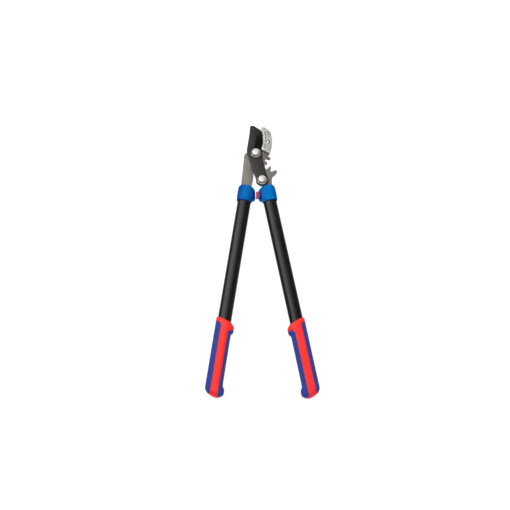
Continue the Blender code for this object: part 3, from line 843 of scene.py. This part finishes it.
def between(stations, along):
    """A table's row at a place along it, smoothly between its stations and without overshoot."""
    rows = sorted(stations)
    if along <= rows[0][0]:
        return rows[0]
    if along >= rows[-1][0]:
        return rows[-1]
    k = next(i for i in range(len(rows) - 1) if rows[i + 1][0] >= along)
    step = rows[k + 1][0] - rows[k][0]
    t = (along - rows[k][0]) / step

    def grade(i, column):
        return (rows[i + 1][column] - rows[i][column]) / (rows[i + 1][0] - rows[i][0])

    def slope(i, column):
        if i == 0:
            return 0.0
        before = grade(i - 1, column)
        if i == len(rows) - 1:
            return before
        after = grade(i, column)
        return 0.0 if before * after <= 0 else 2 * before * after / (before + after)

    found = [along]
    for column in range(1, len(rows[0])):
        start, end = rows[k][column], rows[k + 1][column]
        leave, arrive = slope(k, column) * step, slope(k + 1, column) * step
        bend = leave * (t**3 - 2 * t**2 + t) + arrive * (t**3 - t**2)
        found.append(start + (end - start) * t * t * (3 - 2 * t) + bend)
    return tuple(found)


def in_part(side, point):
    """A point given as (inward, along, height) in a handle's frame, in the part's frame."""
    inward, along, height = point
    return (*from_handle(side, inward * INWARD[side], along), height)


def on_handle(side, rings):
    """Rings given in a handle's frame, in the part's frame."""
    return [[in_part(side, point) for point in ring] for ring in rings]


def tube_oval(along, half_width, half_thick, count):
    """A ring of the tube's section."""
    points = (oval_point(a, half_width, half_thick, TUBE_POWER) for a in turns(count))
    return [(across, along, MID + height) for across, height in points]


# ---------------- handles


def make_tube(side):
    inner = (TUBE_HALF[0] - TUBE_WALL, TUBE_HALF[1] - TUBE_WALL)
    end = TUBE_END + GRIP_SHIFT[side]
    places = (TUBE_TOP, *spread(*TUBE_SHOWN, 24), end)
    rings = [tube_oval(along, *TUBE_HALF, TUBE_POINTS) for along in places]
    rings = [tube_oval(TUBE_TOP, *inner, TUBE_POINTS), *rings, tube_oval(end, *inner, TUBE_POINTS)]
    mesh = loft_mesh(on_handle(side, rings), ends_closed=False)
    finished(f"{side}_tube_skin", mesh, ["tube_black"], BODY[side], [f"{side}_tube"], 50)


def collar_ring(station):
    along, outer, inner, thick = station
    centre, half = (outer + inner) / 2, (inner - outer) / 2
    found = []
    for a in turns(ROUND):
        across, height = oval_point(a, half, thick, COLLAR_POWER)
        inward = centre + across
        arch = COLLAR_ARCH * max(0.0, 1 - (inward / TUBE_HALF[0]) ** 2) if along < ARCH_END else 0.0
        cheek = smooth_step(*CHEEK_SIDE, inward) * (1 - CHEEK_RIM_SHARE * smooth_step(*CHEEK_RIM, inward))
        cheek *= smooth_step(*CHEEK_LOW, along) * smooth_step(*CHEEK_HIGH, along)
        height -= math.copysign(min(abs(height), CHEEK_DEPTH * cheek), height)
        found.append((inward, along + arch, MID + height))
    return found


def slot_ring(along):
    """The collar's rectangular mouth, with points at the same angles as its other rings."""
    centre = sum(SLOT_SIDE) / 2
    half = (SLOT_SIDE[1] - SLOT_SIDE[0]) / 2
    found = []
    for a in turns(ROUND):
        reach = half / max(abs(math.cos(a)), abs(math.sin(a)))
        found.append((centre + reach * math.cos(a), along, MID + reach * math.sin(a) * SLOT_HALF / half))
    return found


def bumper_outline(grow):
    """The pad in the right collar's lug; its outer face stands upright beside the other collar."""
    (low_face, low), (high_face, high) = BUMPER_FACE
    low, high, back = low - grow, high + grow, BUMPER_BACK - grow
    corners = [(high_face + grow, high), (low_face + grow, low), (back, low), (back, high)]
    outline = rounded([(x, y, BUMPER_CORNER) for x, y in corners], closed=True)
    return [in_part("right", (x, y, 0))[:2] for x, y in outline]


def collar_painted_shade(side, inward, along):
    """How much painted shade darkens the blue: in the lug's sunken cheek, along the lower rim and towards the
    sides.
    """
    base, to_outer, to_inner = COLLAR_PAINTED_SHADE[side]
    cheek = smooth_step(15.8, 17.6, inward) * smooth_step(22.0, 21.2, inward) * smooth_step(*CHEEK_LOW, along)
    above_rim = along - COLLAR[0][0]
    rim = 0.9 * smooth_step(3.2, 1.0, above_rim) * smooth_step(13.0, 5.0, inward)
    outer = base + to_outer * smooth_step(-4.0, -15.0, inward)
    inner = base + to_inner * smooth_step(1.0, 13.0, inward)
    return min(1.0, max(cheek, rim, outer, inner))


def make_collar(side):
    foot, top = COLLAR[0][0], COLLAR[-1][0]
    places = sorted({*spread(foot, -1.0, 8), *spread(-1.0, 30.0, 40), *spread(30.0, top, 6)})
    bore = (TUBE_HALF[0] + GAP, TUBE_HALF[1] + GAP, ROUND)
    rings = [collar_ring(between(COLLAR, along)) for along in places]
    rings += [slot_ring(along) for along in (top, SLOT_START)]
    rings += [tube_oval(along, *bore) for along in (SLOT_START, foot + 0.5)]
    mesh = loft_mesh(on_handle(side, rings), ends_closed=False)
    if side == "right":
        low, high = layer("bumper")
        pocket = prism_mesh(bumper_outline(GAP), (low - GAP, high + GAP))
        swept = prism_mesh(circle(*LOWER, TAIL_RADIUS + 2 * GAP, ROUND), (MID, ABOVE))
        mesh = carved(reworked(mesh, face_out), [pocket, swept])
    name, node = f"{side}_collar_shell", f"{side}_collar"
    piece = finished(name, mesh, ["collar_blue"], BODY[side], [node], 38)
    origin, right, up = HANDLES[side]
    # Painted shade for each vertex, kept in the deep attribute.
    deep = []
    for vertex in piece.data.vertices:
        offset = Vector((vertex.co.x / MM, vertex.co.y / MM)) - origin
        deep.append(collar_painted_shade(side, offset.dot(right) * INWARD[side], offset.dot(up)))
    piece.data.attributes.new("deep", "FLOAT", "POINT").data.foreach_set("value", deep)


def make_bumper():
    mesh = plate_mesh([bumper_outline(0.0)], layer("bumper"), 0.9)
    finished("bumper_pad", mesh, ["bumper_red"], "right_handle", ["bumper"], 50)


def grip_span(station, inset):
    """The middle and half width of the grip's section, moved in by inset."""
    _, _, outer, inner, _ = station
    return (outer + inner) / 2, (inner - outer) / 2 - inset


def grip_angle(station, inward, inset):
    """The angle at which the section's front, moved in by inset, crosses a line along the handle."""
    centre, half = grip_span(station, inset)
    share = max(-0.992, min(0.992, (inward - centre) / half))
    return math.acos(power(share, GRIP_POWER / 2))


def grip_point(side, station, angle, inset):
    along, shear, _, _, thick = station
    centre, half = grip_span(station, inset)
    across, height = oval_point(angle, half, thick - inset, GRIP_POWER)
    inward = centre + across
    flat = GRIP_FLAT - inset
    return inward, along + GRIP_SHIFT[side] + shear * inward, MID + max(-flat, min(flat, height))


def round_off(distance, radius=PANEL_EDGE):
    """How far a rounded edge or corner has drawn in, at a distance from its rim."""
    if distance >= radius:
        return 0.0
    return radius - math.sqrt(max(0.0, radius**2 - (radius - max(distance, 0.0)) ** 2))


def panel_places(which, top, bottom):
    """Places along a panel, close together where its corners and ends turn."""
    radius = PANEL_CORNER[which]
    ends = [PANEL_EDGE * (1 - math.cos(math.radians(a))) for a in (0, 20, 40, 60, 75, 90)]
    corners = [radius * (1 - math.cos(math.radians(a))) for a in range(18, 91, 6)]
    places = {top - step for step in (*ends, *corners)} | {bottom + step for step in ends}
    return places | {*spread(top - radius, bottom + 2, 48), *spread(bottom + 18, bottom + 2, 16)}


def core_ring(side, along):
    """The red core's ring: two stripes at full size, and two sides set in where the soft panels lie."""
    station = between(GRIP, along)
    sides = {}
    for which, (top, bottom) in PANELS[side].items():
        outwards = OUTWARDS[which]
        edge = STRIPE_CENTRE[side] + outwards * STRIPE_HALF
        inside = bottom - PANEL_GAP < along < top + PANEL_GAP
        corner = round_off(top + PANEL_GAP - along, PANEL_CORNER[which]) if inside else 0.0
        sides[which] = (edge + outwards * corner, PANEL_DEPTH + GAP if inside else 0.0)
    (high, deep_in), (low, deep_out) = sides["inner"], sides["outer"]
    front = [high - step for step in CORE_STEPS] + spread(high - 0.8, low + 0.8, 12)
    front += [low + step for step in reversed(CORE_STEPS)]
    ring = []
    for inward in front:
        inset = round_off(high - inward, CORE_LIP) if deep_in else 0.0
        inset += round_off(inward - low, CORE_LIP) if deep_out else 0.0
        ring.append((grip_angle(station, inward, inset), inset))
    back = [(2 * math.pi - a, inset) for a, inset in reversed(ring)]
    floor_out = grip_angle(station, low - 0.05, deep_out)
    floor_in = grip_angle(station, high + 0.05, deep_in)
    ring += [(a, deep_out) for a in spread(floor_out, 2 * math.pi - floor_out, 28)]
    ring += back
    ring += [(a, deep_in) for a in spread(2 * math.pi - floor_in, 2 * math.pi + floor_in, 28)]
    return [grip_point(side, station, a, inset) for a, inset in ring]


def bore_ring(like, along, shear):
    """The bore's ring, with points at the same angles as another ring's."""
    found = []
    for x, _, z in like:
        a = math.atan2((z - MID) / TUBE_HALF[1], x / TUBE_HALF[0])
        across, height = oval_point(a, TUBE_HALF[0] + GAP, TUBE_HALF[1] + GAP, TUBE_POWER)
        found.append((across, along + shear * across, MID + height))
    return found


def make_grip(side):
    top, neck, heel, end = (GRIP[i][0] for i in (0, 3, -4, -1))
    places = {*spread(top, neck, 8), *spread(neck, heel, 60), *spread(heel, end, 12)}
    places |= {*spread(*GRIP_FLARE, 24)}
    for which, (start, stop) in PANELS[side].items():
        seat = (start + PANEL_GAP, stop - PANEL_GAP)
        places |= panel_places(which, *seat)
        places |= {edge + step for edge in seat for step in (SEAT_WALL, -SEAT_WALL)}
    rings = [core_ring(side, along) for along in sorted(places, reverse=True)]
    mouth = (top - 0.3, GRIP[0][1])
    bore = [bore_ring(rings[0], along + GRIP_SHIFT[side], shear) for along, shear in ((BORE_END, 0.0), mouth)]
    mesh = loft_mesh(on_handle(side, bore + rings))
    finished(f"{side}_grip_shell", mesh, ["grip_red"], BODY[side], [f"{side}_grip_core"], 32)
    for which in PANELS[side]:
        make_panel(side, which)


def make_panel(side, which):
    """A soft panel wrapping one side of the grip from the front stripe to the back one."""
    top, bottom = PANELS[side][which]
    outwards = OUTWARDS[which]
    turn = 0.0 if which == "inner" else 2 * math.pi
    edge = STRIPE_CENTRE[side] + outwards * STRIPE_HALF
    rings = []
    for along in sorted(panel_places(which, top, bottom), reverse=True):
        station = between(GRIP, along)
        bound = edge + outwards * (PANEL_GAP + round_off(top - along, PANEL_CORNER[which]))
        at_end = round_off(min(top - along, along - bottom))
        near = []
        for step in PANEL_STEPS:
            inset = max(at_end, round_off(step))
            near.append((grip_angle(station, bound + outwards * step, inset), inset))
        last = near[-1][0]
        around = [(a, at_end) for a in spread(last, turn - last, 36)[1:-1]]
        far = [(turn - a, inset) for a, inset in reversed(near)]
        under = grip_angle(station, bound, PANEL_DEPTH)
        back = [(a, PANEL_DEPTH) for a in spread(turn - under, under, 24)]
        rings.append([grip_point(side, station, a, inset) for a, inset in near + around + far + back])
    name, node = f"{side}_grip_{which}_pad", f"{side}_grip_{which}_panel"
    mesh = loft_mesh(on_handle(side, rings))
    finished(name, mesh, ["grip_blue"], BODY[side], [node], 40)


# ---------------- head


def make_plate(name, side, outline, pivot, rivet_holes):
    """A handle's steel plate, with its pivot, rivet and pin holes."""
    pin_holes = [circle(*from_handle(side, 0.0, along), PIN_RADIUS + GAP, 32)[::-1] for along in PIN_AT]
    loops = [shifted(outline, MAIN), circle(*pivot, BOLT_SHANK + GAP, 48), *rivet_holes, *pin_holes]
    mesh = plate_mesh(loops, layer(name), PLATE_EDGE)
    looks = ["plate_steel", "plate_cut_and_painted_shade"]
    piece = finished(f"{name}_body", mesh, looks, BODY[side], [name], 40)
    # Upright cut edges take the darker finish, partly the sheared steel's own colour and partly painted
    # shade.
    second_finish(piece, upright)


def make_blade():
    low, high = layer("blade")
    holes = [circle(*pivot, BOLT_SHANK + GAP, 48) for pivot in (MAIN, LOWER)]
    mesh = plate_mesh([shifted(blade_outline(), MAIN), *holes], (low, high), 0.55)
    rings = []
    for x, y in shifted(smooth_run(BEVEL_LINE, 12), MAIN):
        far = (x + BEVEL_REACH[0], y + BEVEL_REACH[1])
        rings.append([(x, y, high + 0.02), (*far, high - BEVEL_DROP), (*far, ABOVE), (x, y, ABOVE)])
    mesh = carved(mesh, [loft_mesh(rings)])
    looks = ["blade_coat", "blade_ground_painted_dark"]
    piece = finished("blade_body", mesh, looks, "blade", ["blade"], 20)

    def on_bevel(centre, normal):
        """On the faces that lean a little to the right, above the main pivot."""
        return 0.9 < normal.z < 0.995 and normal.x > 0.05 and centre.y > MAIN[1] + 5

    # The blade's upright sides take the near-black finish as painted shade; the bevel takes it as a painted
    # dark reflection.
    second_finish(piece, upright)
    second_finish(piece, on_bevel)


def make_anvil():
    low, high = layer("anvil")
    mesh = plate_mesh([shifted(anvil_outline(), MAIN)], (low, high), 0.8)
    cutters = []
    groove_points = []
    for run in GROOVES:
        points = smooth_run(run, 8)
        groove_points += shifted(points, MAIN)
        outline = shifted(groove_outline(points, GROOVE_HALF), MAIN)
        cutters.append(prism_mesh(outline, (high - GROOVE_DEPTH, ABOVE)))
    dimple = circle(*from_main(*DIMPLE), DIMPLE_RADIUS, 24)
    cutters.append(prism_mesh(dimple, (high - GROOVE_DEPTH, ABOVE)))
    seats = [(*from_main(x, y), radius) for x, y, radius in RIVETS.values()]
    for x, y, radius in seats:
        cutters.append(prism_mesh(circle(x, y, radius, 40), (high - SEAT_DEPTH, ABOVE)))
        cutters.append(prism_mesh(circle(x, y, RIVET_SHANK + GAP, 32), (low - 5.0, ABOVE)))
    mesh = carved(mesh, cutters)
    looks = ["anvil_cast", "anvil_painted_shade"]
    piece = finished("anvil_body", mesh, looks, "left_handle", ["anvil"], 30)
    low_places = [(x, y, GROOVE_HALF + 0.5) for x, y in groove_points]
    low_places += [(x, y, radius + 0.2) for x, y, radius in seats]

    def sunken(centre, _):
        """In a groove or in a rivet's seat, below the face."""
        if not high - SEAT_DEPTH - 0.1 < centre.z < high - 0.3:
            return False
        return any(math.hypot(centre.x - x, centre.y - y) < reach for x, y, reach in low_places)

    # The grooves and rivet seats take painted shade.
    second_finish(piece, sunken)


def hex_ring(centre, flat, z, crown=0.0, lean=0.0, grow=0.0):
    """A hexagon's ring, grown all round; lean takes it off level from the crown's radius out."""
    found = []
    for angle in turns(ROUND):
        reach = flat / math.cos(angle % (math.pi / 3) - math.pi / 6)
        found.append((*polar(centre, reach + grow, math.degrees(angle)), z + lean * (reach - crown)))
    return found


def thread(low, high):
    """The profile of a screw thread's crests and roots."""
    profile = []
    z, crest = low, True
    while z < high - THREAD_PITCH / 2:
        profile.append((BOLT_SHANK if crest else BOLT_SHANK - THREAD_DEPTH, z))
        z, crest = z + THREAD_PITCH / 2, not crest
    return profile


def make_bolt(name, centre, body):
    low, high = layer(name)
    plate, head = layer("hook_plate")[0], layer("blade")[1] + GAP
    crown = HEX_FLAT * 0.93
    shank = [(BOLT_SHANK - 1.5, low), *thread(low + 0.7, plate - 1.0)]
    shank += [(BOLT_SHANK, plate - 0.2), (BOLT_SHANK, head)]
    rim = ((0.4, 0.0), (0.0, 0.4), (0.0, 1.0), (0.25, 1.4))
    flange = [(BOLT_FLANGE - inset, head + up) for inset, up in rim]
    rings = turned(shank + flange, centre)
    rings += [
        hex_ring(centre, HEX_FLAT, head + 2.3, grow=0.5),
        hex_ring(centre, HEX_FLAT, head + 2.8),
        hex_ring(centre, HEX_FLAT, high - 0.55, crown, -0.62),
        hex_ring(centre, HEX_FLAT, high - 0.35, crown, -0.62, -0.35),
    ]
    rings += turned([(crown, high - 0.3), (crown * 0.86, high - 0.12), (crown * 0.5, high)], centre)
    mesh = loft_mesh(rings)
    looks = ["bright_zinc", "zinc_painted_shade"]
    piece = finished(f"{name}_body", mesh, looks, body, [name], 24)
    # The hex's upright sides take the darker zinc as painted shade below the head's top.
    second_finish(piece, lambda at, normal: abs(normal.z) < 0.35 and head + 1.6 < at.z < high - 0.45)


def make_nut(name, centre, body):
    low, high = layer(name)
    crown = NUT_FLAT * 0.95
    rings = turned([(BOLT_SHANK + GAP, high - 0.6), (BOLT_SHANK + 1.0, high), (crown, high)], centre)
    rings.append(hex_ring(centre, NUT_FLAT, high - 0.2, crown, -0.6))
    rings.append(hex_ring(centre, NUT_FLAT, low + 0.2, crown, 0.6))
    rings += turned([(crown, low), (BOLT_SHANK + 1.0, low), (BOLT_SHANK + GAP, low + 0.6)], centre)
    mesh = loft_mesh(rings, ends_closed=False)
    finished(f"{name}_body", mesh, ["bright_zinc"], body, [name], 24)


def make_rivet(name):
    x, y, seat_radius = RIVETS[name]
    low, high = layer(name)
    under = layer("hook_plate")[0] - GAP
    seat = layer("anvil")[1] - SEAT_DEPTH + GAP
    head, brim = seat_radius - 0.6, seat + 0.8
    foot = ((1.5, low), (0.5, low + 0.25), (0.05, low + 0.7), (0.0, low + 1.0), (0.0, under))
    profile = [(RIVET_FOOT - drawn_in, z) for drawn_in, z in foot]
    profile += [(RIVET_SHANK, under), (RIVET_SHANK, seat), (head, seat), (head, brim)]
    for a in spread(math.radians(14), math.radians(84), 5):
        profile.append((0.3 + (head - 0.3) * math.cos(a), brim + (high - brim) * math.sin(a)))
    mesh = loft_mesh(turned(profile, from_main(x, y), 48))
    finished(f"{name}_body", mesh, ["rivet_steel"], "left_handle", [name], 40)


def dress_hidden():
    """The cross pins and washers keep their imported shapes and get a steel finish."""
    for name, node in frame["nodes"].items():
        if "_pin_" in name or name.endswith("washer"):
            for slot in node.material_slots:
                slot.link = "OBJECT"
                slot.material = LOOKS["rivet_steel"]


# ---------------- stage


def paper(name, glow, fineness, dark, light):
    """Matt pale paper with a glow of its own."""
    made = Shader(name, Roughness=0.9, Specular_IOR_Level=0.1, Emission_Strength=glow)
    made.feed("Emission Color", WHITE)
    made.feed("Base Color", made.mix(made.noise(fineness), (dark,) * 3, (light,) * 3))
    return made.material


def make_floor():
    """A plain pale sheet under the tool, with a glow of its own so that it carries almost no shadow."""
    reach, low = 6000, -0.2
    corners = [(-reach, -reach, low), (reach, -reach, low), (reach, reach, low), (-reach, reach, low)]
    mesh = raw_mesh(corners, [(0, 1, 2, 3)])
    mesh.materials.append(paper("paper", FLOOR_GLOW, 3.0, FLOOR_TONE - 0.01, FLOOR_TONE + 0.01))
    floor = placed("floor", mesh)


def make_backdrop():
    """A plain pale dome far off, seen only where the view passes over the floor; it lights nothing."""
    rings = []
    for degrees in range(0, 90, 6):
        radius, height = polar((0.0, -5.0), BACKDROP, degrees)
        rings.append(level_ring(radius, height, (0.0, 0.0), 48))
    mesh = loft_mesh(rings)
    glow = paper("backdrop_paper", 1.0, 0.3, 0.02, 0.03)
    glow.cycles.emission_sampling = "NONE"
    mesh.materials.append(glow)
    dome = placed("backdrop", mesh)
    dome.visible_diffuse = dome.visible_glossy = dome.visible_transmission = dome.visible_shadow = False


def make_light(name, direction, size, share):
    """A soft box in a direction from the tool, strong enough for its share of full daylight."""
    towards = Vector(direction).normalized()
    light = bpy.data.lights.new(name, "AREA")
    light.shape = "RECTANGLE"
    light.size, light.size_y = size
    light.energy = share * math.pi**2 * LIGHT_DISTANCE**2 / max(towards.z, 0.2)
    lamp = placed(name, light)
    lamp.location = towards * LIGHT_DISTANCE
    lamp.rotation_euler = towards.to_track_quat("Z", "Y").to_euler()


def make_world():
    world = bpy.data.worlds.new("studio")
    world.use_nodes = True
    sky = world.node_tree.nodes["Background"].inputs
    sky["Color"].default_value = WHITE
    sky["Strength"].default_value = ROOM_LIGHT
    bpy.context.scene.world = world
    bpy.context.scene.view_settings.view_transform = "Standard"


def make_camera():
    """Above the tool and leant towards its grips, looking down at it."""
    aim = Vector((*from_main(*CAMERA_AIM), 0.0)) * MM
    data = bpy.data.cameras.new("camera")
    data.sensor_width = 36.0
    data.lens = data.sensor_width / 2 * CAMERA_DISTANCE / CAMERA_HALF_WIDTH
    data.clip_start, data.clip_end = 0.05, 50.0
    camera = placed("camera", data)
    camera.location = aim + Vector((0.0, -math.sin(CAMERA_TILT), math.cos(CAMERA_TILT))) * CAMERA_DISTANCE
    camera.rotation_euler = (CAMERA_TILT, 0.0, 0.0)
    bpy.context.scene.camera = camera


for side in INWARD:
    make_tube(side)
    make_collar(side)
    make_grip(side)
make_bumper()
rivet_holes = [circle(*from_main(x, y), RIVET_SHANK + GAP, 32) for x, y, _ in RIVETS.values()]
make_plate("hook_plate", "left", hook_plate_outline(), MAIN, rivet_holes)
make_plate("arm_plate", "right", arm_plate_outline(), LOWER, [])
make_blade()
make_anvil()
for rivet in RIVETS:
    make_rivet(rivet)
for make, kind in ((make_bolt, "bolt"), (make_nut, "nut")):
    make(f"main_{kind}", MAIN, "left_handle")
    make(f"lower_{kind}", LOWER, "blade")
dress_hidden()

make_floor()
make_backdrop()
make_world()
make_camera()
for box in LIGHTS:
    make_light(*box)
